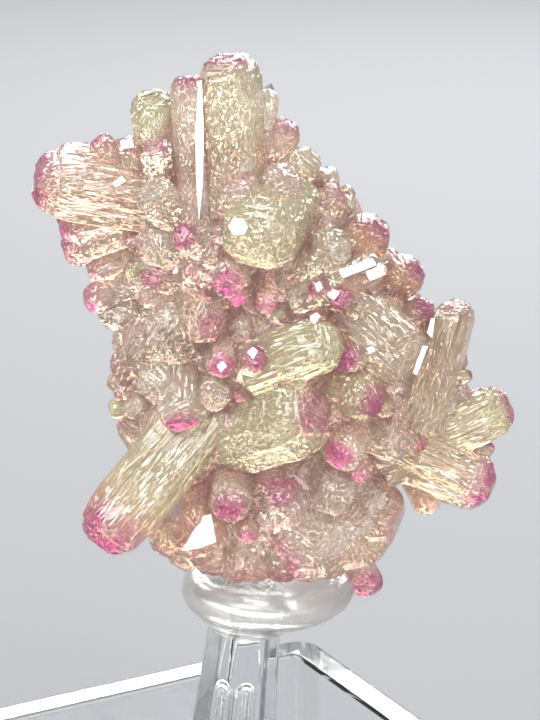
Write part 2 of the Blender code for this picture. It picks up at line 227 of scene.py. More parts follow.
def crystal_form(name, bands, end_steps, cuts=0, roughening=0.0, seed=1):
    """bands are heights and widths up the shaft, and end_steps are insets and rises of the end."""
    bpy.ops.object.select_all(action="DESELECT")
    bpy.ops.mesh.primitive_cube_add(size=1, location=(0, 0, 0.5 - LENGTH))
    form = bpy.context.object
    form.name = name
    bpy.ops.object.transform_apply(location=True, rotation=True, scale=True)
    edit(form)
    pick("EDGE", upright)
    bpy.ops.mesh.bevel(offset=CORNER, segments=1, affect="EDGES")
    for height, width in bands:
        pick("FACE", topmost)
        top = max(vert.co.z for vert in bmesh.from_edit_mesh(form.data).verts)
        bpy.ops.mesh.extrude_region_move(TRANSFORM_OT_translate={"value": (0, 0, height - top)})
        bpy.ops.transform.resize(value=(width, width, 1))
    for inset, rise in end_steps:
        pick("FACE", topmost)
        bpy.ops.mesh.inset(thickness=inset, depth=rise)
    if cuts:
        pick("FACE", lambda face: all(vert.co.z > -HEAD - 0.01 for vert in face.verts))
        bpy.ops.mesh.subdivide(number_cuts=cuts)
        bpy.ops.transform.vertex_random(offset=roughening, uniform=0, normal=0.5, seed=seed)
    leave_edit()
    form.data.transform(Matrix.Translation((0, 0, -max(vert.co.z for vert in form.data.vertices))))
    return form


SHAFT = [(-1.5, 1.0), (-1.47, 0.99), (-0.85, 1.01), (-HEAD, 0.99)]
domed = crystal_form(
    "domed", SHAFT, [(0.05, 0.15), (0.065, 0.12), (0.085, 0.09), (0.10, 0.05)], 1, 0.022, 3
)
blunt = crystal_form("blunt", SHAFT, [(0.05, 0.17), (0.075, 0.14), (0.09, 0.07), (0.12, 0.02)])
rough = crystal_form(
    "rough", SHAFT, [(0.04, 0.13), (0.06, 0.12), (0.08, 0.1), (0.12, 0.05)], 1, 0.04, 8
)
slim = crystal_form("slim", [(-0.9, 1.0), (-0.55, 0.96)], [(0.1, 0.22), (0.17, 0.18)])
bulb = crystal_form(
    "bulb", [(-1.1, 0.86), (-0.8, 1.16), (-0.5, 1.03)], [(0.07, 0.2), (0.1, 0.15), (0.12, 0.08)]
)
for form in (domed, blunt, rough, slim, bulb):
    print(form.name, len(form.data.polygons), "faces")

# %% [markdown]
# ## Parallel growth
# The biggest prisms are bundles: slimmer prisms that grew side by side stand a little proud of the
# faces and stop short of the end, and their edges draw the lines that run along the crystal.

# %% A bundle of prisms
def bundle(name, core, ribs):
    """Each rib is a copy of the blunt form: place across and through, width, depth and how far back."""
    made = core.copy()
    made.data = core.data.copy()
    made.name = name
    bpy.context.scene.collection.objects.link(made)
    parts = [made]
    for x, y, wide, deep, back in ribs:
        rib = blunt.copy()
        rib.data = blunt.data.copy()
        bpy.context.scene.collection.objects.link(rib)
        place = Matrix.Translation((x, y, -back)) @ Matrix.Diagonal((wide, deep, 1, 1))
        rib.data.transform(place)
        for vert in rib.data.vertices:
            head = -back - HEAD * wide
            if vert.co.z < head:
                vert.co.z = max(vert.co.z, -LENGTH)
        parts.append(rib)
    bpy.ops.object.select_all(action="DESELECT")
    for part in parts:
        part.select_set(True)
    bpy.context.view_layer.objects.active = made
    bpy.ops.object.join()
    return made


RIBS = [
    (-0.30, 0.30, 0.44, 0.46, 0.36),
    (0.05, 0.36, 0.30, 0.34, 0.62),
    (0.33, 0.24, 0.38, 0.50, 0.42),
    (0.36, -0.18, 0.34, 0.40, 0.30),
    (0.12, -0.33, 0.42, 0.40, 0.50),
    (-0.24, -0.34, 0.36, 0.36, 0.34),
    (-0.37, -0.05, 0.32, 0.44, 0.48),
]
bundled = bundle("bundled", domed, RIBS)
print("bundled", len(bundled.data.polygons), "faces")

# %% [markdown]
# ## Which crystal grows where
# The display side is set out crystal by crystal: where its tip is, which way it points, how long,
# wide and deep it is, how it is turned on its own axis, and its colours. Green is the share of the
# yellow-green of the clearest prisms, and pink is how strong the magenta of its tip is and how far
# down the crystal it reaches, in millimetres. The last column is painted light: the share of an orange
# painted glow that stands in for thin edges lit through by the back lamp, and in the last row, a
# crystal set in the hollow at the middle, a deep warm painted shade.

# %% The listed crystals
CRYSTALS = """
form    across  up   fore head rise  long wide deep spin green  pink reach amber
domed    -1.1   8.3   0.3   92   12   4.2 1.75  1.5    0  0.45  1.00  0.55  0.12
blunt    -2.2   7.7   0.5   93    8   4.5  0.8  0.9   35  0.10  0.85  0.50  0.12
rough    -3.2   7.3  -0.6   97    0   2.8  1.2  1.1    0  0.50  0.05  0.40     0
bundled  -6.4   4.9   0.2  172    6   4.8 1.95  1.6   20  0.15  1.00  0.85  0.35
rough    -5.7   3.5  -0.2  195    5   2.8 1.05  1.0   15  0.10  0.85  0.70   0.3
rough    -5.6   2.9  -0.4  200    0   2.6 0.95  0.9   40  0.10  0.80  0.60   0.3
blunt    -4.9   2.3  -0.3  200    0   2.2 0.75  0.8   20  0.10  0.60  0.50   0.3
bulb     -5.0   1.6   0.2  195   15   2.4 0.78  0.8   25  0.00  0.85  0.60     0
domed    -4.3  -0.1   0.7  178   15   2.2 0.75  0.8    5  0.15  0.55  0.35     0
domed    -4.1  -0.9   0.4  200   10   2.0  0.7  0.8   30  0.05  0.35  0.30     0
blunt   -3.95  -2.0   0.5  205    5   2.4 0.85  0.9   10  0.05  0.50  0.35     0
rough   -4.25   0.7   0.0  170    5   2.4 0.95  0.9   20  0.10  0.20  0.30     0
rough   -4.05  -1.5  -0.1  192    0   2.4 0.95  0.9    0  0.05  0.20  0.30     0
rough    -4.6   1.5  -0.4  165    0   2.6  1.1  1.0   30  0.10  0.30  0.40     0
domed    -3.4  -0.7   1.5  200   42   2.4 1.35  1.2   10  0.10  0.00  0.30     0
domed    -3.5   3.3   1.2  165   35   2.4  1.2  1.1   20  0.10  0.15  0.30     0
blunt    -4.7   6.0  -0.3  130    0   2.2  0.6  0.7   20  0.20  0.80  0.40   0.5
blunt    -3.9   6.0   0.3  110   20   2.0 0.65  0.7   45  0.10  0.60  0.40     0
rough    -3.1   5.9   0.8   95   35   1.9 0.75  0.8   15  0.10  0.65  0.45     0
domed    -3.3   4.6   1.6  140   50   2.2  1.1  1.1   30  0.15  0.00  0.30     0
rough    -3.8   0.8   1.4  150   40   2.2  1.1  1.1   10  0.10  0.15  0.30     0
rough    -2.9   1.2   2.0  120   58   2.2  1.2  1.2   40  0.10  0.00  0.30     0
bundled  -2.4  -1.8   2.3  272   35   3.2  1.2  1.1    5  0.15  1.00  0.30     0
bundled  -4.7  -5.0   2.4  230    5   5.6 1.60  1.4   15  0.70  0.95  2.00  0.05
blunt    -2.0  -4.9   2.3  262   60   2.8  1.5  1.4   20  0.00  0.25  0.30  0.75
domed    -3.0  -5.2   1.1  238   20   2.4  1.0  1.0   10  0.50  0.45  0.30   0.4
domed    -1.1  -4.1   2.5  265   58   2.6 1.15  1.1   35  0.20  1.00  0.40     0
blunt    -0.6  -4.8   2.3  270   55   1.8 0.55  0.6    0  0.10  0.90  0.25     0
rough    -1.0  -6.0   1.6  262   15   2.4  0.8  0.8   15  0.05  0.55  0.45     0
rough    -0.4  -6.0   1.7  270   15   2.4 0.78  0.8   40  0.05  0.45  0.45     0
rough   -1.75 -5.75   1.3  250   20   2.4  1.1  1.0    5  0.10  0.35  0.40   0.3
rough    -2.5  -5.6   1.0  240   12   2.6 0.95  0.9   30  0.20  0.20  0.30  0.25
domed    -1.6  -1.1   2.2  250   60   2.0 0.95  0.9   20  0.10  0.10  0.30     0
domed     1.3  -1.4   3.0   18   44   3.0  2.0  1.7   10  0.80  0.80  0.35     0
bundled  1.95   0.6   2.1   20   18   2.7 1.35  1.2    0  0.90  0.00  0.30     0
domed   -0.55   3.0   2.8  238   52   2.7 1.95  1.8   25  0.85  0.00  0.20     0
rough    -1.2   2.0   2.4  250   60   2.2  0.9  0.9   15  0.10  1.00  0.45     0
blunt    -0.9   1.6   2.1  260   55   1.8  0.5  0.5    0  0.10  0.90  0.35     0
blunt    -0.1   1.4   2.0  270   50   1.8 0.62  0.6   30  0.10  0.80  0.35   0.4
blunt    -2.4   3.4   2.0  150   62   2.0 0.75  0.7   10  0.10  0.90  0.35     0
rough    -3.2   2.2   1.7  170   58   1.9  0.6  0.6   25  0.10  0.90  0.40     0
domed    -1.5   0.9   2.3  330   52   2.2 1.15  1.1   35  0.15  0.70  0.30  0.25
domed    -1.3  -0.2   2.8  280   68   2.0 0.75  0.7   20  0.05  1.00  0.40     0
blunt    -0.4   0.1   2.7   60   72   2.0 0.72  0.7    5  0.10  1.00  0.45     0
blunt    1.25   2.0   2.1  130   58   1.9 0.55  0.6   15  0.10  0.90  0.35     0
blunt    1.85   1.7   2.3  160   58   1.9  0.7  0.7   30  0.10  1.00  0.40     0
blunt     1.2   1.1   2.0  200   55   1.7  0.5  0.5   10  0.10  0.10  0.30   0.5
rough    1.95   0.0   2.4  180   52   1.9  0.6  0.9    0  0.10  1.00  0.40     0
domed    -0.8   5.0   1.6   85   45   2.2  1.2  1.1   20  0.20  0.40  0.30     0
domed     0.5   5.1   1.5   60   45   2.3  1.1  1.0   40  0.20  0.20  0.30     0
slim      0.0   7.3  -0.6   80    0   2.6 0.55  0.6   15  0.10  0.10  0.30     0
domed     0.5   6.5  -0.5   65    5   2.6 0.85  0.9   30  0.05  0.80  0.50  0.35
domed     1.2   5.6   0.4   45   15   2.6 1.05  1.0   10  0.30  0.05  0.30     0
domed     1.9  4.65   0.1   50   10   2.4 0.85  0.9   25  0.05  0.75  0.45   0.3
domed     3.0  3.75   0.6   48   20   2.8 1.35  1.2   15  0.30  0.95  0.55  0.50
domed     4.0  2.65   0.3   42   12   2.6  1.1  1.0   35  0.25  0.95  0.50  0.50
blunt     3.0   2.6   1.7   22   15   2.6 0.85  0.8    5  0.15  0.00  0.30     0
rough     4.3   1.5   1.3   40   38   2.0 0.75  0.7   20  0.10  1.00  0.40     0
bundled   5.1   1.6   0.4   75   12   3.6 1.60  1.0    0  0.30  0.50  0.50  0.15
bundled   3.9  -0.2   2.3  318   25   3.2 1.70  1.3   10  0.35  0.00  0.30     0
rough     3.3   1.6   1.0   60   45   1.8  1.2  1.1   30  0.15  0.00  0.30     0
rough     1.9   3.2   1.7   40   48   2.2  1.2  1.1   15  0.30  0.00  0.30     0
domed     2.9 -1.15   2.8  335   48   2.6  1.2  1.1   20  0.65  1.00  0.32     0
domed     1.8  -2.6   2.7  215   60   2.4 1.05  1.0   10  0.35  1.00  0.38     0
blunt     2.4  -3.2   2.1  250   50   1.8  0.5  0.5   30  0.10  0.80  0.35     0
rough     0.3  -3.4   2.3  100   55   2.4 1.05  1.0    0  0.05  0.80  0.60     0
rough    0.35  -5.5   1.9  218   22   3.2  1.9  1.6   15  0.10  0.75  0.60  0.05
blunt     3.5 -4.35   0.8  342   15   2.8  1.7  1.4    5  0.30  0.45  0.60  0.35
blunt     3.1  -5.2   0.7  322   10   2.8 1.35  1.2   20  0.25  0.20  0.40   0.2
blunt     2.8  -6.3   1.2  300   18   2.4 0.78  0.8   10  0.30  1.00  1.10     0
blunt     2.3  -5.6   1.3  282   20   2.4  1.3  1.1    0  0.10  0.10  0.40   0.2
bundled   6.5 -1.15   0.2   25    5   3.9  1.4  1.2   20  0.55  0.85  0.40  0.15
blunt    5.95  -2.2   0.1   50    0   1.7 0.42  0.5    0  0.20  0.90  0.30     0
bundled   6.0  -3.5   1.1  336   12   4.6 1.55  1.4   10  0.40  1.00  0.85  0.25
slim      4.4  -4.1   0.2  296    0   2.4  1.5  0.7    0  0.10  0.10  0.40   0.5
domed    5.35  -0.7   0.4   40   10   2.0 0.65  0.6   30  0.10  0.50  0.30     0
rough     1.9  -3.9   2.1  300   50   2.4 1.25  1.2   20  0.05  0.10  0.30     0
rough     3.6  -2.4   2.0  330   45   2.2  1.1  1.0    5  0.10  0.05  0.30     0
rough     0.3  -6.0   1.7  268   15   2.6  0.8  0.8   10  0.05  0.60  0.45     0
rough    1.05  -6.0   1.6  275   15   2.4  0.8  0.8   35  0.05  0.45  0.40     0
rough    1.75  -5.9   1.3  285   12   2.2 0.75  0.8   20  0.10  0.20  0.40     0
rough    -0.1   1.0   1.2   90   70   2.2  1.0  1.0    0  0.00  0.60  2.50   1.0
"""

# %% Reading the table
rows = [line.split() for line in CRYSTALS.strip().splitlines()[1:]]
placed = [(row[0], *map(float, row[1:])) for row in rows]
print(len(placed), "crystals placed by hand")

# %% [markdown]
# ## Growing a crystal from its form
# A copy of the form is stretched along its shaft only, so that its end keeps its shape, and is laid
# on its own direction. Two things are written on its points for the material to read: its own
# coordinates, so that striations follow each crystal, and its tints: the magenta of its end, its green,
# a painted glow that is painted shade where a crystal fills the hollow, and how strongly it is crackled.

# %% Growing one crystal
random_source = random.Random(29)
grown = []


SHAFT_GRAIN = 0.25
CRACKLE_LEAST = 0.65
CRACKLE_PER_MM = 0.45
CRACKLE_MOST = 1.4
# Painted glow: the orange mixed in below a pink end, standing in for thin edges that glow with the back lamp
# behind them.
EDGE_GLOW_SHARE = 0.35
EDGE_GLOW_REACH = 1.2


def fade(depth):
    """1 at the tip, falling smoothly to 0 where depth is 1."""
    depth = np.clip(depth, 0, 1)
    return 1 - depth * depth * (3 - 2 * depth)


def mark(piece, own_place, tints):
    """Writes two values for each point on the corners of its faces, where a join blends them well."""
    data = piece.data
    corners = np.empty(len(data.loops), np.int32)
    data.loops.foreach_get("vertex_index", corners)
    place = data.attributes.new("own_place", "FLOAT_VECTOR", "CORNER")
    place.data.foreach_set("vector", own_place[corners].astype(np.float32).ravel())
    tint = data.attributes.new("tints", "FLOAT_COLOR", "CORNER")
    tint.data.foreach_set("color", tints[corners].astype(np.float32).ravel())


def grow(form, tip, direction, long, wide, deep, spin, green, pink, reach, glow_and_shade=0.0):
    made = form.copy()
    made.data = form.data.copy()
    bpy.context.scene.collection.objects.link(made)
    thin = min(wide, deep)
    points = np.empty(len(made.data.vertices) * 3, np.float32)
    made.data.vertices.foreach_get("co", points)
    points = points.reshape(-1, 3)
    along_form = points[:, 2]
    shaft = (-along_form - HEAD) / (LENGTH - HEAD)
    head_long = HEAD * thin
    along = np.where(along_form > -HEAD, along_form * thin, -head_long - shaft * (long - head_long))
    own = np.column_stack((points[:, 0] * wide, points[:, 1] * deep, along))
    direction = direction.normalized()
    side = Matrix.Rotation(math.radians(spin), 3, direction) @ direction.orthogonal().normalized()
    basis = np.array(Matrix((side, direction.cross(side), direction)))
    made.data.vertices.foreach_set("co", (own @ basis + np.array(tip)).astype(np.float32).ravel())
    grain = SHAFT_GRAIN if form is bundled else 1.0
    own[:, 2] = np.where(along < -head_long, (along + head_long) * grain - head_long, along)
    shift = np.array([random_source.uniform(-50, 50) for _ in range(3)])
    tipped = pink * fade(-along / reach)
    # painted glow below the end, or the crystal's own share of painted glow and shade, whichever is more
    glow = np.maximum(EDGE_GLOW_SHARE * pink * fade(-along / (EDGE_GLOW_REACH * reach)), glow_and_shade)
    count = len(own)
    crackle = min(CRACKLE_LEAST + CRACKLE_PER_MM * thin, CRACKLE_MOST)
    tints = np.column_stack((tipped, np.full(count, green), glow, np.full(count, crackle)))
    mark(made, own + shift, tints)
    grown.append(made)
    return made


forms = {form.name: form for form in (domed, blunt, rough, slim, bulb, bundled)}
for name, across, up, fore, heading, rise, *rest in placed:
    grow(forms[name], seen_at(across, up, fore), pointing(heading, rise), *rest)
print(len(grown), "crystals grown")

# %% [markdown]
# ## The far side and the small crystals
# Between and behind the placed crystals the cluster is a crust of smaller ones. They stand on the
# rounded lumps of the grown-together middle, spread evenly by the golden angle, as seeds sit in a
# sunflower, and a fixed random source tilts and sizes each one.

# %% The grown-together middle
LUMPS = [
    (-1.6, 3.4, -0.5, 2.3, 2.4, 1.8),
    (0.4, 0.4, -0.4, 3.6, 3.3, 2.1),
    (0.4, -3.4, -0.1, 2.7, 2.2, 1.9),
    (-2.2, -0.6, -0.2, 1.8, 2.8, 1.8),
    (3.0, -0.6, -0.3, 2.1, 2.3, 1.6),
    (0.5, 3.3, -0.4, 1.8, 1.9, 1.5),
]
GOLDEN_ANGLE = math.pi * (3 - math.sqrt(5))


def lump_place(lump):
    across, up, fore, *half_sizes = lump
    basis = Matrix((RIGHT, SEEN_UP, TO_EYE)).transposed()
    return Matrix.Translation(seen_at(across, up, fore)) @ (basis @ Matrix.Diagonal(half_sizes)).to_4x4()


def spots_over(spacing, proud, buried):
    """Places and outward directions over all lumps, spacing apart and proud of them."""
    places = [lump_place(lump) for lump in LUMPS]
    for own, (place, lump) in enumerate(zip(places, LUMPS)):
        a, b, c = lump[3:]
        spots = round(4 * math.pi * (a * b + b * c + c * a) / 3 / spacing**2)
        for i in range(spots):
            out = 1 - 2 * (i + 0.5) / spots
            ring = math.sqrt(1 - out * out)
            angle = i * GOLDEN_ANGLE
            unit = Vector((math.cos(angle) * ring, math.sin(angle) * ring, out))
            spot = place @ (unit * proud)
            others = (p.inverted() @ spot for j, p in enumerate(places) if j != own)
            if all(other.length > buried for other in others):
                yield spot, RIGHT * unit.x + SEEN_UP * unit.y + TO_EYE * unit.z, out


# %% Crystals of the far side
BACK_SPACING = 1.62
BACK_FROM = 0.25
BACK_PROUD = 1.16
BACK_BURIED = 1.05
BACK_LOWEST = -5.5
BACK_LENGTH = 1.9
BACK_WIDTHS = (1.6, 1.2, 1.9, 1.4, 1.05)
BACK_FORMS = (domed, rough, bundled, blunt, domed)

count = 0
for spot, outward, out in spots_over(BACK_SPACING, BACK_PROUD, BACK_BURIED):
    if out > BACK_FROM or spot.z - HEART.z < BACK_LOWEST:
        continue
    wide = BACK_WIDTHS[count % len(BACK_WIDTHS)]
    form = BACK_FORMS[count % len(BACK_FORMS)]
    green = random_source.choice((0.05, 0.1, 0.3, 0.6))
    pink = random_source.choice((0.0, 0.1, 0.5, 0.9))
    grow(form, spot, outward, BACK_LENGTH, wide, wide * 0.9, 17 * count, green, pink, 0.3)
    count += 1
print(count, "crystals on the far side")

# %% The lumps
LUMP_SHRINK = 0.97

for lump in LUMPS:
    bpy.ops.object.select_all(action="DESELECT")
    bpy.ops.mesh.primitive_ico_sphere_add(subdivisions=3, radius=LUMP_SHRINK)
    core = bpy.context.object
    edit(core)
    bpy.ops.mesh.select_all(action="SELECT")
    bpy.ops.transform.vertex_random(offset=0.05, uniform=0, normal=1, seed=len(grown))
    leave_edit()
    core.data.transform(lump_place(lump))
    own = np.array([vert.co for vert in core.data.vertices])
    # the blue of these tints is a little painted glow
    mark(core, own, np.tile((0.1, 0.05, 0.1, 1.0), (len(own), 1)))
    grown.append(core)
print(len(LUMPS), "lumps")

# %% The crust of small crystals
CRUST_SPACING = 0.62
CRUST_TILT = 0.45
CRUST_LOWEST = -5.9
CRUST_CLEAR = 0.12
CRUST_PINKS = ((0.0, 0.2), (0.0, 0.2), (0.35, 1.2), (0.8, 0.22), (0.15, 1.0))
CRUST_GREENS = (0.0, 0.0, 0.35, 0.75)

def skin_of(pieces):
    points, faces = [], []
    for piece in pieces:
        start = len(points)
        points.extend(vert.co.copy() for vert in piece.data.vertices)
        faces.extend([start + i for i in face.vertices] for face in piece.data.polygons)
    return BVHTree.FromPolygons(points, faces)


placed_skin = skin_of(grown)


def clear_of_placed(spot):
    """How far the spot is outside the nearest placed crystal. Inside one it is negative."""
    nearest, normal, index, distance = placed_skin.find_nearest(spot)
    return distance if (spot - nearest).dot(normal) > 0 else -distance


count = 0
for spot, outward, out in spots_over(CRUST_SPACING, 1.0, 1.0):
    if spot.z - HEART.z < CRUST_LOWEST:
        continue
    tilt = Vector([random_source.uniform(-CRUST_TILT, CRUST_TILT) for _ in range(3)])
    direction = (outward + tilt).normalized()
    wide = random_source.uniform(0.36, 0.8)
    proud = random_source.uniform(0.1, 0.45)
    if clear_of_placed(spot + direction * proud) < CRUST_CLEAR:
        continue
    form = random_source.choice((blunt, rough, slim, blunt))
    pink, reach = random_source.choice(CRUST_PINKS)
    green = random_source.choice(CRUST_GREENS)
    deep = wide * random_source.uniform(0.7, 1.1)
    spin = random_source.uniform(0, 90)
    grow(form, spot + direction * proud, direction, 1.5, wide, deep, spin, green, pink, reach)
    count += 1
print(count, "small crystals in the crust")

# %% [markdown]
# ## Flat faces that flash
# In the photograph about twenty crystal faces are mirrors: white bars, squares and a triangle. Such a
# face flashes because it lies half way between the lamp and the eye. Each is drawn as a small outline
# where it is seen, laid on the crystal behind it, tilted to that half-way direction, and pushed into
# the crystal so that it becomes the polished end of a block.

# %% Outlines of the mirror faces
PICTURE_MIDDLE = (270, 360)
MIRROR_FACES = """
side 196 82   202 80   204 130  203 185  199 222  196 185  195 130
key 182 551  202 517  211 514  216 542  200 548
key 228 226  234 218  243 219  248 227  244 235  232 234
key 338 270  372 258  377 265  343 278
key 364 268  380 263  386 274  370 281
key 264 92   270 88   274 96   270 102  264 99
key 427 333  431 318  435 319  432 338
key 413 373  422 346  428 346  417 375
key 367 348  372 346  375 351  369 354
key 327 295  333 289  340 292  334 300
key 315 284  320 281  323 288  317 292
key 310 316  316 313  320 317  315 324  311 322
key 247 352  253 347  258 351  253 359
key 217 366  222 361  227 366  221 372
key 112 183  122 176  126 181  116 187
key 120 141  132 139  134 147  122 149
key 172 268  177 266  178 272  173 274
"""


def sight_through(px, py):
    across = (px - PICTURE_MIDDLE[0]) / POINTS_PER_MM
    up = (PICTURE_MIDDLE[1] - py) / POINTS_PER_MM
    return (HEART + RIGHT * across + SEEN_UP * up - EYE).normalized()


mirror_faces = []
for line in MIRROR_FACES.strip().splitlines():
    lamp, *words = line.split()
    numbers = [float(word) for word in words]
    mirror_faces.append((lamps[lamp], list(zip(numbers[0::2], numbers[1::2]))))
print(len(mirror_faces), "mirror faces")

# %% Blocks with a mirror face
MIRROR_PROUD = 0.10
MIRROR_DEEP = 0.8
MIRROR_LIFT = 0.8
MIRROR_FLARE = 0.25
skin = skin_of(grown)


def mirror_block(lamp, outline):
    """A block whose end is the outline on a plane half way between the lamp and the eye."""
    middle = sight_through(*[sum(axis) / len(outline) for axis in zip(*outline)])
    found = skin.ray_cast(EYE, middle)[0]
    spot = found - middle * MIRROR_PROUD
    facing = ((lamp.location / MM - spot).normalized() + (EYE - spot).normalized()).normalized()
    sights = [sight_through(px, py) for px, py in outline]
    reaches = [(spot - EYE).dot(facing) / sight.dot(facing) for sight in sights]
    sunk = [reach - (skin.ray_cast(EYE, sight)[3] or reach) for sight, reach in zip(sights, reaches)]
    lift = min(max(max(sunk), 0), MIRROR_LIFT)
    ends = [EYE + sight * (reach - lift) for sight, reach in zip(sights, reaches)]
    mesh = bpy.data.meshes.new("mirror_block")
    mesh.from_pydata([end[:] for end in ends], [], [range(len(ends))])
    block = bpy.data.objects.new("mirror_block", mesh)
    bpy.context.scene.collection.objects.link(block)
    edit(block)
    bpy.ops.mesh.select_all(action="SELECT")
    push = middle * MIRROR_DEEP
    bpy.ops.mesh.extrude_region_move(TRANSFORM_OT_translate={"value": push})
    span = max((end - ends[0]).length for end in ends)
    widen = 1 + MIRROR_FLARE / span
    bpy.ops.transform.resize(value=(widen, widen, widen))
    bpy.ops.mesh.select_all(action="SELECT")
    bpy.ops.mesh.normals_make_consistent(inside=False)
    leave_edit()
    corners = np.array([vert.co for vert in mesh.vertices])
    mark(block, corners, np.tile((0, 0.1, 0, 0.14), (len(corners), 1)))
    return block


blocks = [mirror_block(lamp, outline) for lamp, outline in mirror_faces]
print(len(blocks), "mirror blocks")

# %% [markdown]
# ## One cluster
# Crystals that grew together are one thing. Joined as they are, their hidden insides would stay as
# faces that light has to pass, and a clear material would turn black. So all are united by a
# Boolean, which leaves one closed skin. The Manifold solver does hundreds of closed shells in
# seconds. It wants each shell by itself, so the bundles are taken apart first.

# %% Unite the cluster
def united(parts, name):
    bpy.ops.object.select_all(action="DESELECT")
    for part in parts:
        part.select_set(True)
    bpy.context.view_layer.objects.active = parts[0]
    bpy.ops.object.join()
    bpy.ops.object.mode_set(mode="EDIT")
    bpy.ops.mesh.select_all(action="SELECT")
    bpy.ops.mesh.separate(type="LOOSE")
    leave_edit()
    shells = list(bpy.context.selected_objects)
    whole = shells.pop()
    others = bpy.data.collections.new("shells")
    for shell in shells:
        others.objects.link(shell)
    join = whole.modifiers.new("unite", "BOOLEAN")
    join.operation = "UNION"
    join.operand_type = "COLLECTION"
    join.collection = others
    join.solver = "MANIFOLD"
    only(whole)
    bpy.ops.object.modifier_apply(modifier=join.name)
    for shell in shells:
        bpy.data.objects.remove(shell)
    bpy.data.collections.remove(others)
    whole.name = name
    whole.data.name = name
    print(name, "unites", len(shells) + 1, "shells in", len(whole.data.polygons), "faces")
    return whole


def to_metres(piece):
    piece.data.transform(Matrix.Scale(MM, 4))
    piece.data.update()


cluster = united(grown + blocks, "vesuvianite_crystals")
for form in forms.values():
    bpy.data.objects.remove(form)

# %% [markdown]
# ## Painted shade between the crystals
# The clefts between crystals look deep and red-brown, because light there has passed through many
# tips. That shade is painted into the colour. How sheltered a point is can be measured once: rays go
# out from it, and the share that soon meets another crystal is kept as a value of the point, which the
# material reads to mix in a red-brown painted shade.

# %% How sheltered each point is
SHELTER_RAYS = 26
SHELTER_REACH = 1.7
SHELTER_START = 0.03
SHELTER_FACING = 0.25

rays = []
for i in range(SHELTER_RAYS):
    out = 1 - 2 * (i + 0.5) / SHELTER_RAYS
    ring = math.sqrt(1 - out * out)
    rays.append(Vector((math.cos(i * GOLDEN_ANGLE) * ring, math.sin(i * GOLDEN_ANGLE) * ring, out)))
whole_skin = skin_of([cluster])
sheltered = []
for vert in cluster.data.vertices:
    start = vert.co + vert.normal * SHELTER_START
    outward = [ray for ray in rays if ray.dot(vert.normal) > SHELTER_FACING]
    met = sum(whole_skin.ray_cast(start, ray, SHELTER_REACH)[0] is not None for ray in outward)
    sheltered.append(met / max(1, len(outward)))
shelter = cluster.data.attributes.new("shelter", "FLOAT", "POINT")
shelter.data.foreach_set("value", sheltered)
to_metres(cluster)
print(len(sheltered), "points, mean shelter", round(sum(sheltered) / len(sheltered), 2))
# %% [markdown]
# ## The crystal's material
# The bodies are clear champagne to yellow-green and the ends are magenta, in a skin that fades down
# the crystal. A clear crystal is not empty: fine fractures inside throw back tiny glints. Most of the
# light is let through, and the fractures are drawn with normals that change from cell to cell.
# Two marks in the colour are painted light: an orange painted glow down from the ends, and a red-brown
# painted shade in the clefts.

# %% Node helpers
def node(tree, kind, place, **settings):
    made = tree.nodes.new(kind)
    made.location = place
    for name, value in settings.items():
        setattr(made, name, value)
    return made


def mix_colour(tree, place, share, first, second):
    """A colour mix. Each of share, first and second is a socket or a plain value."""
    made = node(tree, "ShaderNodeMix", place, data_type="RGBA")
    for socket, value in zip((made.inputs[0], made.inputs[6], made.inputs[7]), (share, first, second)):
        if isinstance(value, bpy.types.NodeSocket):
            tree.links.new(value, socket)
        else:
            socket.default_value = value
    return made.outputs[2]


def maths(tree, place, operation, *values):
    made = node(tree, "ShaderNodeMath", place, operation=operation, use_clamp=False)
    for socket, value in zip(made.inputs, values):
        if isinstance(value, bpy.types.NodeSocket):
            tree.links.new(value, socket)
        else:
            socket.default_value = value
    return made.outputs[0]


# %% Vesuvianite
ROSE = (0.97, 0.72, 0.70, 1)
CHAMPAGNE = (0.99, 0.91, 0.63, 1)
GREEN = (0.93, 0.95, 0.50, 1)
MAGENTA = (0.60, 0.045, 0.23, 1)
# painted glow: the orange of thin edges lit through from behind
PAINTED_EDGE_GLOW = (0.93, 0.38, 0.20, 1)
CRACK = (0.42, 0.30, 0.24, 1)
# painted shade: the red-brown mixed into sheltered points between the crystals
PAINTED_CLEFT_SHADE = (0.40, 0.18, 0.18, 1)
GLINT_TILT = 0.5

crystal = bpy.data.materials.new("vesuvianite_finish")
crystal.use_nodes = True
tree = crystal.node_tree
shader = tree.nodes["Principled BSDF"]
shader.inputs["Roughness"].default_value = 0.06
shader.inputs["Transmission Weight"].default_value = 0.88
shader.inputs["IOR"].default_value = 1.70
shader.inputs["Coat Weight"].default_value = 0.4
shader.inputs["Coat Roughness"].default_value = 0.05

own = node(tree, "ShaderNodeAttribute", (-1500, 0), attribute_name="own_place")
tints = node(tree, "ShaderNodeAttribute", (-1500, 300), attribute_name="tints")
split = node(tree, "ShaderNodeSeparateColor", (-1300, 300))
tree.links.new(tints.outputs["Color"], split.inputs[0])

patches = node(tree, "ShaderNodeTexNoise", (-1300, 0))
patches.inputs["Scale"].default_value = 2.2
patches.inputs["Detail"].default_value = 4
tree.links.new(own.outputs["Vector"], patches.inputs["Vector"])
fractures = []
for size, place in ((11.0, -250), (28.0, -450)):
    long_cells = node(tree, "ShaderNodeMapping", (-1400, place))
    long_cells.inputs["Scale"].default_value = (size, size, size * 0.6)
    tree.links.new(own.outputs["Vector"], long_cells.inputs["Vector"])
    cells = node(tree, "ShaderNodeTexVoronoi", (-1250, place))
    cells.inputs["Scale"].default_value = 1
    tree.links.new(long_cells.outputs[0], cells.inputs["Vector"])
    fractures.append(cells.outputs["Color"])

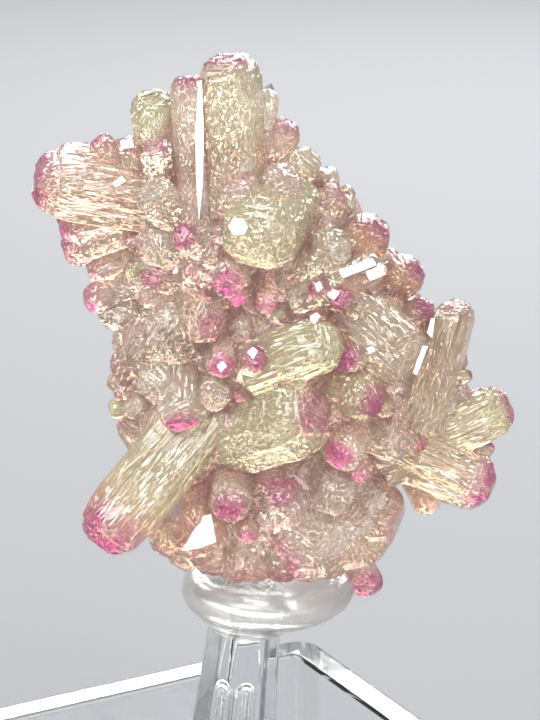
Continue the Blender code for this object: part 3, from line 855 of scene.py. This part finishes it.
body = mix_colour(tree, (-900, 300), patches.outputs["Fac"], ROSE, CHAMPAGNE)
body = mix_colour(tree, (-700, 300), split.outputs["Green"], body, GREEN)
uneven = maths(tree, (-900, 0), "MULTIPLY_ADD", patches.outputs["Fac"], 2.2, -0.1)
magenta = maths(tree, (-700, 0), "MULTIPLY", split.outputs["Red"], uneven)
magenta = maths(tree, (-500, 0), "MINIMUM", magenta, 1.0)
# The blue of the tints mixes in painted glow, and painted shade where a crystal is set in the hollow.
body = mix_colour(tree, (-550, 300), split.outputs["Blue"], body, PAINTED_EDGE_GLOW)
body = mix_colour(tree, (-400, 300), magenta, body, MAGENTA)
cracks = node(tree, "ShaderNodeTexVoronoi", (-1100, 500), feature="DISTANCE_TO_EDGE")
cracks.inputs["Scale"].default_value = 6.0
tree.links.new(own.outputs["Vector"], cracks.inputs["Vector"])
crack_share = node(tree, "ShaderNodeMapRange", (-900, 500))
crack_share.inputs["From Max"].default_value = 0.09
crack_share.inputs["To Min"].default_value = 0.30
crack_share.inputs["To Max"].default_value = 0.0
tree.links.new(cracks.outputs["Distance"], crack_share.inputs["Value"])
body = mix_colour(tree, (-200, 300), crack_share.outputs[0], body, CRACK)
# Painted shade: the more sheltered a point is, the more red-brown shade is mixed into its colour.
shelter = node(tree, "ShaderNodeAttribute", (-500, 700), attribute_name="shelter")
cleft_shade_share = node(tree, "ShaderNodeMapRange", (-300, 700), interpolation_type="SMOOTHSTEP")
cleft_shade_share.inputs["From Min"].default_value = 0.38
cleft_shade_share.inputs["From Max"].default_value = 0.95
cleft_shade_share.inputs["To Max"].default_value = 0.95
tree.links.new(shelter.outputs["Fac"], cleft_shade_share.inputs["Value"])
body = mix_colour(tree, (-50, 300), cleft_shade_share.outputs[0], body, PAINTED_CLEFT_SHADE)
tree.links.new(body, shader.inputs["Base Color"])

stretch = node(tree, "ShaderNodeMapping", (-1300, -600))
stretch.inputs["Scale"].default_value = (14, 14, 0.6)
tree.links.new(own.outputs["Vector"], stretch.inputs["Vector"])
lines = node(tree, "ShaderNodeTexNoise", (-1100, -600))
lines.inputs["Scale"].default_value = 1.0
lines.inputs["Detail"].default_value = 3
tree.links.new(stretch.outputs[0], lines.inputs["Vector"])
bump = node(tree, "ShaderNodeBump", (-700, -500))
bump.inputs["Strength"].default_value = 0.5
bump.inputs["Distance"].default_value = 0.00003
line_height = maths(tree, (-900, -600), "MULTIPLY", lines.outputs["Fac"], tints.outputs["Alpha"])
tree.links.new(line_height, bump.inputs["Height"])

both = node(tree, "ShaderNodeVectorMath", (-1150, -350), operation="ADD")
tree.links.new(fractures[0], both.inputs[0])
tree.links.new(fractures[1], both.inputs[1])
centred = node(tree, "ShaderNodeVectorMath", (-1000, -350), operation="SUBTRACT")
centred.inputs[1].default_value = (1.0, 1.0, 1.0)
tree.links.new(both.outputs[0], centred.inputs[0])
glints = node(tree, "ShaderNodeVectorMath", (-900, -300), operation="SCALE")
glint_share = maths(tree, (-1100, -150), "MULTIPLY", tints.outputs["Alpha"], GLINT_TILT)
tree.links.new(glint_share, glints.inputs["Scale"])
tree.links.new(centred.outputs[0], glints.inputs[0])
tilted = node(tree, "ShaderNodeVectorMath", (-500, -400), operation="ADD")
tree.links.new(bump.outputs["Normal"], tilted.inputs[0])
tree.links.new(glints.outputs[0], tilted.inputs[1])
level = node(tree, "ShaderNodeVectorMath", (-300, -400), operation="NORMALIZE")
tree.links.new(tilted.outputs[0], level.inputs[0])
tree.links.new(level.outputs[0], shader.inputs["Normal"])

cluster.data.materials.clear()
cluster.data.materials.append(crystal)
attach(cluster, "root")
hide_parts("crystal_cluster")
print("vesuvianite has", len(tree.nodes), "nodes")

# %% [markdown]
# ## The glue pad
# The cluster is held by a blob of clear set glue that slumped into a thick round lip before it
# hardened. Its profile could be spun round an axis, but the lip sits a little beside the post, so
# rings are pushed up one by one from a flat circle, each with its own width and shift. The top
# creeps up where it wets the crystals, and the lip is not quite level or round.

# %% Rings of the pad
PAD_SIDES = 72
PAD_RINGS = [
    (15.60, -0.54, 1.02),
    (15.62, -0.53, 1.12),
    (15.74, -0.50, 1.20),
    (15.90, -0.43, 1.42),
    (16.05, -0.35, 1.70),
    (16.20, -0.26, 1.96),
    (16.35, -0.18, 2.17),
    (16.50, -0.12, 2.33),
    (16.66, -0.08, 2.43),
    (16.84, -0.07, 2.46),
    (17.02, -0.07, 2.43),
    (17.16, -0.07, 2.32),
    (17.24, -0.07, 2.15),
    (17.24, -0.07, 1.98),
    (17.18, -0.07, 1.82),
    (17.28, -0.07, 1.60),
    (17.48, -0.07, 1.34),
    (17.55, -0.07, 0.60),
]
PAD_SAG = 0.07
PAD_WAVES = ((2, 0.035, 0.4), (3, 0.025, 2.1), (5, 0.015, 4.0), (9, 0.008, 1.3))


def above_post(across, height):
    spot = HEART + RIGHT * across
    spot.z = height
    return spot


first_height, first_across, first_radius = PAD_RINGS[0]
bpy.ops.object.select_all(action="DESELECT")
bpy.ops.mesh.primitive_circle_add(
    vertices=PAD_SIDES, radius=first_radius, fill_type="NGON", location=above_post(first_across, first_height)
)
pad = bpy.context.object
pad.name = "set_glue_pad"
bpy.ops.object.transform_apply(location=True, rotation=True, scale=True)
edit(pad)
bpy.ops.mesh.select_all(action="SELECT")
height, across, radius = PAD_RINGS[0]
for next_height, next_across, next_radius in PAD_RINGS[1:]:
    shift = RIGHT * (next_across - across) + Vector((0, 0, next_height - height))
    bpy.ops.mesh.extrude_region_move(TRANSFORM_OT_translate={"value": shift})
    grow_by = next_radius / radius
    bpy.ops.transform.resize(value=(grow_by, grow_by, 1))
    height, across, radius = next_height, next_across, next_radius
bpy.ops.mesh.select_all(action="SELECT")
bpy.ops.mesh.normals_make_consistent(inside=False)
leave_edit()
print("the pad has", len(PAD_RINGS), "rings")

# %% Slump of the glue
pad_axis = above_post(PAD_RINGS[9][1], 0)
lip_radius = PAD_RINGS[9][2]
for vert in pad.data.vertices:
    out = Vector((vert.co.x - pad_axis.x, vert.co.y - pad_axis.y, 0))
    angle = math.atan2(out.y, out.x)
    near_lip = min(1.0, (out.length / lip_radius) ** 3) * (vert.co.z > 16.2)
    wave = sum(size * math.sin(count * angle + phase) for count, size, phase in PAD_WAVES)
    vert.co += out.normalized() * (wave - 0.03) * near_lip
    vert.co.z += near_lip * (1.4 * wave - PAD_SAG * math.cos(angle - math.atan2(RIGHT.y, RIGHT.x)))
only(pad)
smooth = pad.modifiers.new("smooth", "SUBSURF")
smooth.levels = smooth.render_levels = 1
bpy.ops.object.modifier_apply(modifier=smooth.name)
bpy.ops.object.shade_smooth()
to_metres(pad)
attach(pad, "root")
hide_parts("glue_pad")
print("the pad has", len(pad.data.polygons), "faces")

# %% [markdown]
# ## The post
# The post is moulded in clear plastic: a square bar that widens towards its foot, with a round-ended
# hollow up its middle that keeps the plastic from sinking as it cools. A cube is pulled to the two
# square ends, its edges are rounded, and a Boolean takes the hollow out.

# %% Square bar
def flatten_wide_faces(piece, area):
    """Faces wider than area keep one normal all over, so that a clear wall isn't seen as bent."""
    for face in piece.data.polygons:
        if face.area > area:
            face.use_smooth = False


WIDE_FACE = 3.0
POST_TOP = above_post(-0.66, 16.08)
POST_FOOT = above_post(-2.2, 1.08)
POST_TOP_SIDE = 1.53
POST_FOOT_SIDE = 2.75
POST_EDGE = 0.17

bpy.ops.object.select_all(action="DESELECT")
bpy.ops.mesh.primitive_cube_add(size=1, location=(0, 0, 0.5))
post = bpy.context.object
post.name = "display_post"
bpy.ops.object.transform_apply(location=True, rotation=True, scale=True)
edit(post)
for test, side, place in (
    (lambda vert: vert.co.z > 0.5, POST_TOP_SIDE, POST_TOP - Vector((0, 0, 1))),
    (lambda vert: vert.co.z < 0.5, POST_FOOT_SIDE, POST_FOOT),
):
    pick("VERT", test)
    bpy.ops.transform.resize(value=(side, side, 1))
    bpy.ops.transform.translate(value=place)
pick("EDGE", upright)
bpy.ops.mesh.bevel(offset=POST_EDGE, segments=4, affect="EDGES")
leave_edit()
print("post from", [round(x, 2) for x in POST_FOOT], "to", [round(x, 2) for x in POST_TOP])

# %% Hollow of the post
CORE_FOOT_RADIUS = 0.62
CORE_TOP_RADIUS = 0.36
CORE_BELOW_TOP = 2.1
CORE_SIDES = 40
DOME_STEPS = 8

axis = (POST_TOP - POST_FOOT).normalized()
core_foot = POST_FOOT - axis
core_top = POST_TOP - axis * CORE_BELOW_TOP
bpy.ops.object.select_all(action="DESELECT")
bpy.ops.mesh.primitive_circle_add(
    vertices=CORE_SIDES, radius=CORE_FOOT_RADIUS, fill_type="NGON", location=core_foot
)
core = bpy.context.object
bpy.ops.object.transform_apply(location=True, rotation=True, scale=True)
edit(core)
bpy.ops.mesh.select_all(action="SELECT")
centre, radius = core_foot, CORE_FOOT_RADIUS
for step in range(DOME_STEPS):
    angle = math.pi / 2 * step / DOME_STEPS
    next_centre = core_top - axis * CORE_TOP_RADIUS * (1 - math.sin(angle))
    next_radius = CORE_TOP_RADIUS * math.cos(angle)
    bpy.ops.mesh.extrude_region_move(TRANSFORM_OT_translate={"value": next_centre - centre})
    bpy.ops.transform.resize(value=(next_radius / radius, next_radius / radius, 1))
    centre, radius = next_centre, next_radius
bpy.ops.mesh.select_all(action="SELECT")
bpy.ops.mesh.normals_make_consistent(inside=False)
leave_edit()

hollow = post.modifiers.new("hollow", "BOOLEAN")
hollow.operation = "DIFFERENCE"
hollow.object = core
hollow.solver = "EXACT"
only(post)
bpy.ops.object.modifier_apply(modifier=hollow.name)
bpy.data.objects.remove(core)
bpy.ops.object.shade_smooth_by_angle(angle=math.radians(30))
flatten_wide_faces(post, WIDE_FACE)
to_metres(post)
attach(post, "root")
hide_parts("post")
print("the post has", len(post.data.polygons), "faces")

# %% [markdown]
# ## The box base
# The stand is glued in the base of a clear specimen box: a shallow square tray with a thin wall.
# It is hollowed from a block by an inset and an inward extrusion, and every edge is rounded a
# little, because only a rounded edge of clear plastic catches a line of light.

# %% Shallow tray
TRAY_WALL = 1.1
TRAY_FLOOR = 1.1
TRAY_CORNER = 0.9
TRAY_INNER_CORNER = 0.35
TRAY_EDGE = 0.16

tray_size = tray_high - tray_low
bpy.ops.object.select_all(action="DESELECT")
bpy.ops.mesh.primitive_cube_add(size=1, location=(tray_high + tray_low) / 2, scale=tray_size)
tray = bpy.context.object
tray.name = "clear_box_base"
bpy.ops.object.transform_apply(location=True, rotation=True, scale=True)
edit(tray)
pick("FACE", topmost)
bpy.ops.mesh.inset(thickness=TRAY_WALL, depth=0)
bpy.ops.mesh.extrude_region_move(
    TRANSFORM_OT_translate={"value": (0, 0, TRAY_FLOOR - tray_size.z)}
)
pick("EDGE", lambda edge: upright(edge) and abs(edge.verts[0].co.x) > tray_high.x - TRAY_WALL / 2)
bpy.ops.mesh.bevel(offset=TRAY_CORNER, segments=6, affect="EDGES")
pick("EDGE", lambda edge: upright(edge) and abs(edge.verts[0].co.x) < tray_high.x - TRAY_WALL / 2
     and abs(edge.verts[0].co.y) < tray_high.y - TRAY_WALL / 2)
bpy.ops.mesh.bevel(offset=TRAY_INNER_CORNER, segments=4, affect="EDGES")
leave_edit()
rounding = tray.modifiers.new("rounded edges", "BEVEL")
rounding.width = TRAY_EDGE
rounding.segments = 3
rounding.limit_method = "ANGLE"
rounding.angle_limit = math.radians(40)
only(tray)
bpy.ops.object.modifier_apply(modifier=rounding.name)
bpy.ops.object.shade_smooth_by_angle(angle=math.radians(35))
flatten_wide_faces(tray, WIDE_FACE)
to_metres(tray)
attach(tray, "root")
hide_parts("box_base")
print("the tray has", len(tray.data.polygons), "faces")

# %% [markdown]
# ## Plastic and glue
# Clear mouldings are never perfect. Faint flow lines bend what is seen through them, and dust and
# fine scratches dull them here and there. All three clear pieces use this, so it is one node group.

# %% Moulded surface group
def moulded_surface():
    group = bpy.data.node_groups.new("moulded surface", "ShaderNodeTree")
    sockets = (
        ("Flow Scale", "INPUT", "NodeSocketFloat"),
        ("Flow Height", "INPUT", "NodeSocketFloat"),
        ("Roughness", "INPUT", "NodeSocketFloat"),
        ("Dust", "INPUT", "NodeSocketFloat"),
        ("Normal", "OUTPUT", "NodeSocketVector"),
        ("Roughness", "OUTPUT", "NodeSocketFloat"),
        ("Dust Mask", "OUTPUT", "NodeSocketFloat"),
    )
    for title, way, kind in sockets:
        group.interface.new_socket(name=title, in_out=way, socket_type=kind)
    given = node(group, "NodeGroupInput", (-900, 0))
    result = node(group, "NodeGroupOutput", (500, 0))
    place = node(group, "ShaderNodeTexCoord", (-900, -300))
    flow = node(group, "ShaderNodeTexNoise", (-500, 200))
    flow.inputs["Detail"].default_value = 2
    group.links.new(place.outputs["Object"], flow.inputs["Vector"])
    group.links.new(given.outputs["Flow Scale"], flow.inputs["Scale"])
    bump = node(group, "ShaderNodeBump", (100, 200))
    bump.inputs["Distance"].default_value = 0.0002
    group.links.new(flow.outputs["Fac"], bump.inputs["Height"])
    group.links.new(given.outputs["Flow Height"], bump.inputs["Strength"])
    group.links.new(bump.outputs["Normal"], result.inputs["Normal"])
    specks = node(group, "ShaderNodeTexNoise", (-500, -300))
    specks.inputs["Scale"].default_value = 2600
    specks.inputs["Detail"].default_value = 5
    group.links.new(place.outputs["Object"], specks.inputs["Vector"])
    sparse = node(group, "ShaderNodeMapRange", (-250, -300))
    sparse.inputs["From Min"].default_value = 0.6
    sparse.inputs["From Max"].default_value = 0.74
    group.links.new(specks.outputs["Fac"], sparse.inputs["Value"])
    dust = maths(group, (0, -300), "MULTIPLY", sparse.outputs[0], given.outputs["Dust"])
    rough = maths(group, (200, -150), "ADD", dust, given.outputs["Roughness"])
    group.links.new(rough, result.inputs["Roughness"])
    group.links.new(dust, result.inputs["Dust Mask"])
    return group


moulded = moulded_surface()


def clear_finish(name, colour, dusty, transmission, ior, flow_scale, flow_height, roughness, dust):
    made = bpy.data.materials.new(name)
    made.use_nodes = True
    tree = made.node_tree
    shader = tree.nodes["Principled BSDF"]
    shader.inputs["Transmission Weight"].default_value = transmission
    shader.inputs["IOR"].default_value = ior
    surface = node(tree, "ShaderNodeGroup", (-500, 0))
    surface.node_tree = moulded
    for title, value in (
        ("Flow Scale", flow_scale), ("Flow Height", flow_height), ("Roughness", roughness), ("Dust", dust)
    ):
        surface.inputs[title].default_value = value
    tree.links.new(surface.outputs["Normal"], shader.inputs["Normal"])
    tree.links.new(surface.outputs["Roughness"], shader.inputs["Roughness"])
    base = mix_colour(tree, (-250, 200), surface.outputs["Dust Mask"], colour, dusty)
    tree.links.new(base, shader.inputs["Base Color"])
    return made


post_finish = clear_finish(
    "post_finish", (0.97, 0.98, 0.98, 1), (0.8, 0.8, 0.78, 1), 1.0, 1.49, 260, 0.25, 0.02, 0.25
)
box_finish = clear_finish(
    "box_finish", (0.96, 0.975, 0.98, 1), (0.8, 0.8, 0.78, 1), 1.0, 1.49, 90, 0.15, 0.04, 0.12
)
glue_finish = clear_finish(
    "glue_finish", (0.90, 0.885, 0.86, 1), (0.85, 0.8, 0.78, 1), 0.86, 1.48, 420, 0.6, 0.10, 0.2
)
LIP_FROM = 16.2 * MM
LIP_TO = 16.75 * MM
tree = glue_finish.node_tree
shader = tree.nodes["Principled BSDF"]
place = node(tree, "ShaderNodeTexCoord", (-1100, -300))
height = node(tree, "ShaderNodeSeparateXYZ", (-900, -300))
tree.links.new(place.outputs["Object"], height.inputs[0])
lip = node(tree, "ShaderNodeMapRange", (-700, -300))
lip.inputs["From Min"].default_value = LIP_FROM
lip.inputs["From Max"].default_value = LIP_TO
lip.inputs["To Min"].default_value = 0.05
lip.inputs["To Max"].default_value = 0.2
tree.links.new(height.outputs["Z"], lip.inputs["Value"])
tree.links.new(lip.outputs[0], shader.inputs["Roughness"])
drag = node(tree, "ShaderNodeMapping", (-900, -550))
drag.inputs["Scale"].default_value = (9000, 9000, 500)
tree.links.new(place.outputs["Object"], drag.inputs["Vector"])
drag_lines = node(tree, "ShaderNodeTexNoise", (-700, -550))
drag_lines.inputs["Scale"].default_value = 1
tree.links.new(drag.outputs[0], drag_lines.inputs["Vector"])
drag_bump = node(tree, "ShaderNodeBump", (-450, -550))
drag_bump.inputs["Strength"].default_value = 0.35
drag_bump.inputs["Distance"].default_value = 0.00006
tree.links.new(drag_lines.outputs["Fac"], drag_bump.inputs["Height"])
tree.links.new(drag_bump.outputs["Normal"], shader.inputs["Normal"])

for piece, finish in ((post, post_finish), (tray, box_finish), (pad, glue_finish)):
    piece.data.materials.clear()
    piece.data.materials.append(finish)
print("clear finishes:", post_finish.name, box_finish.name, glue_finish.name)
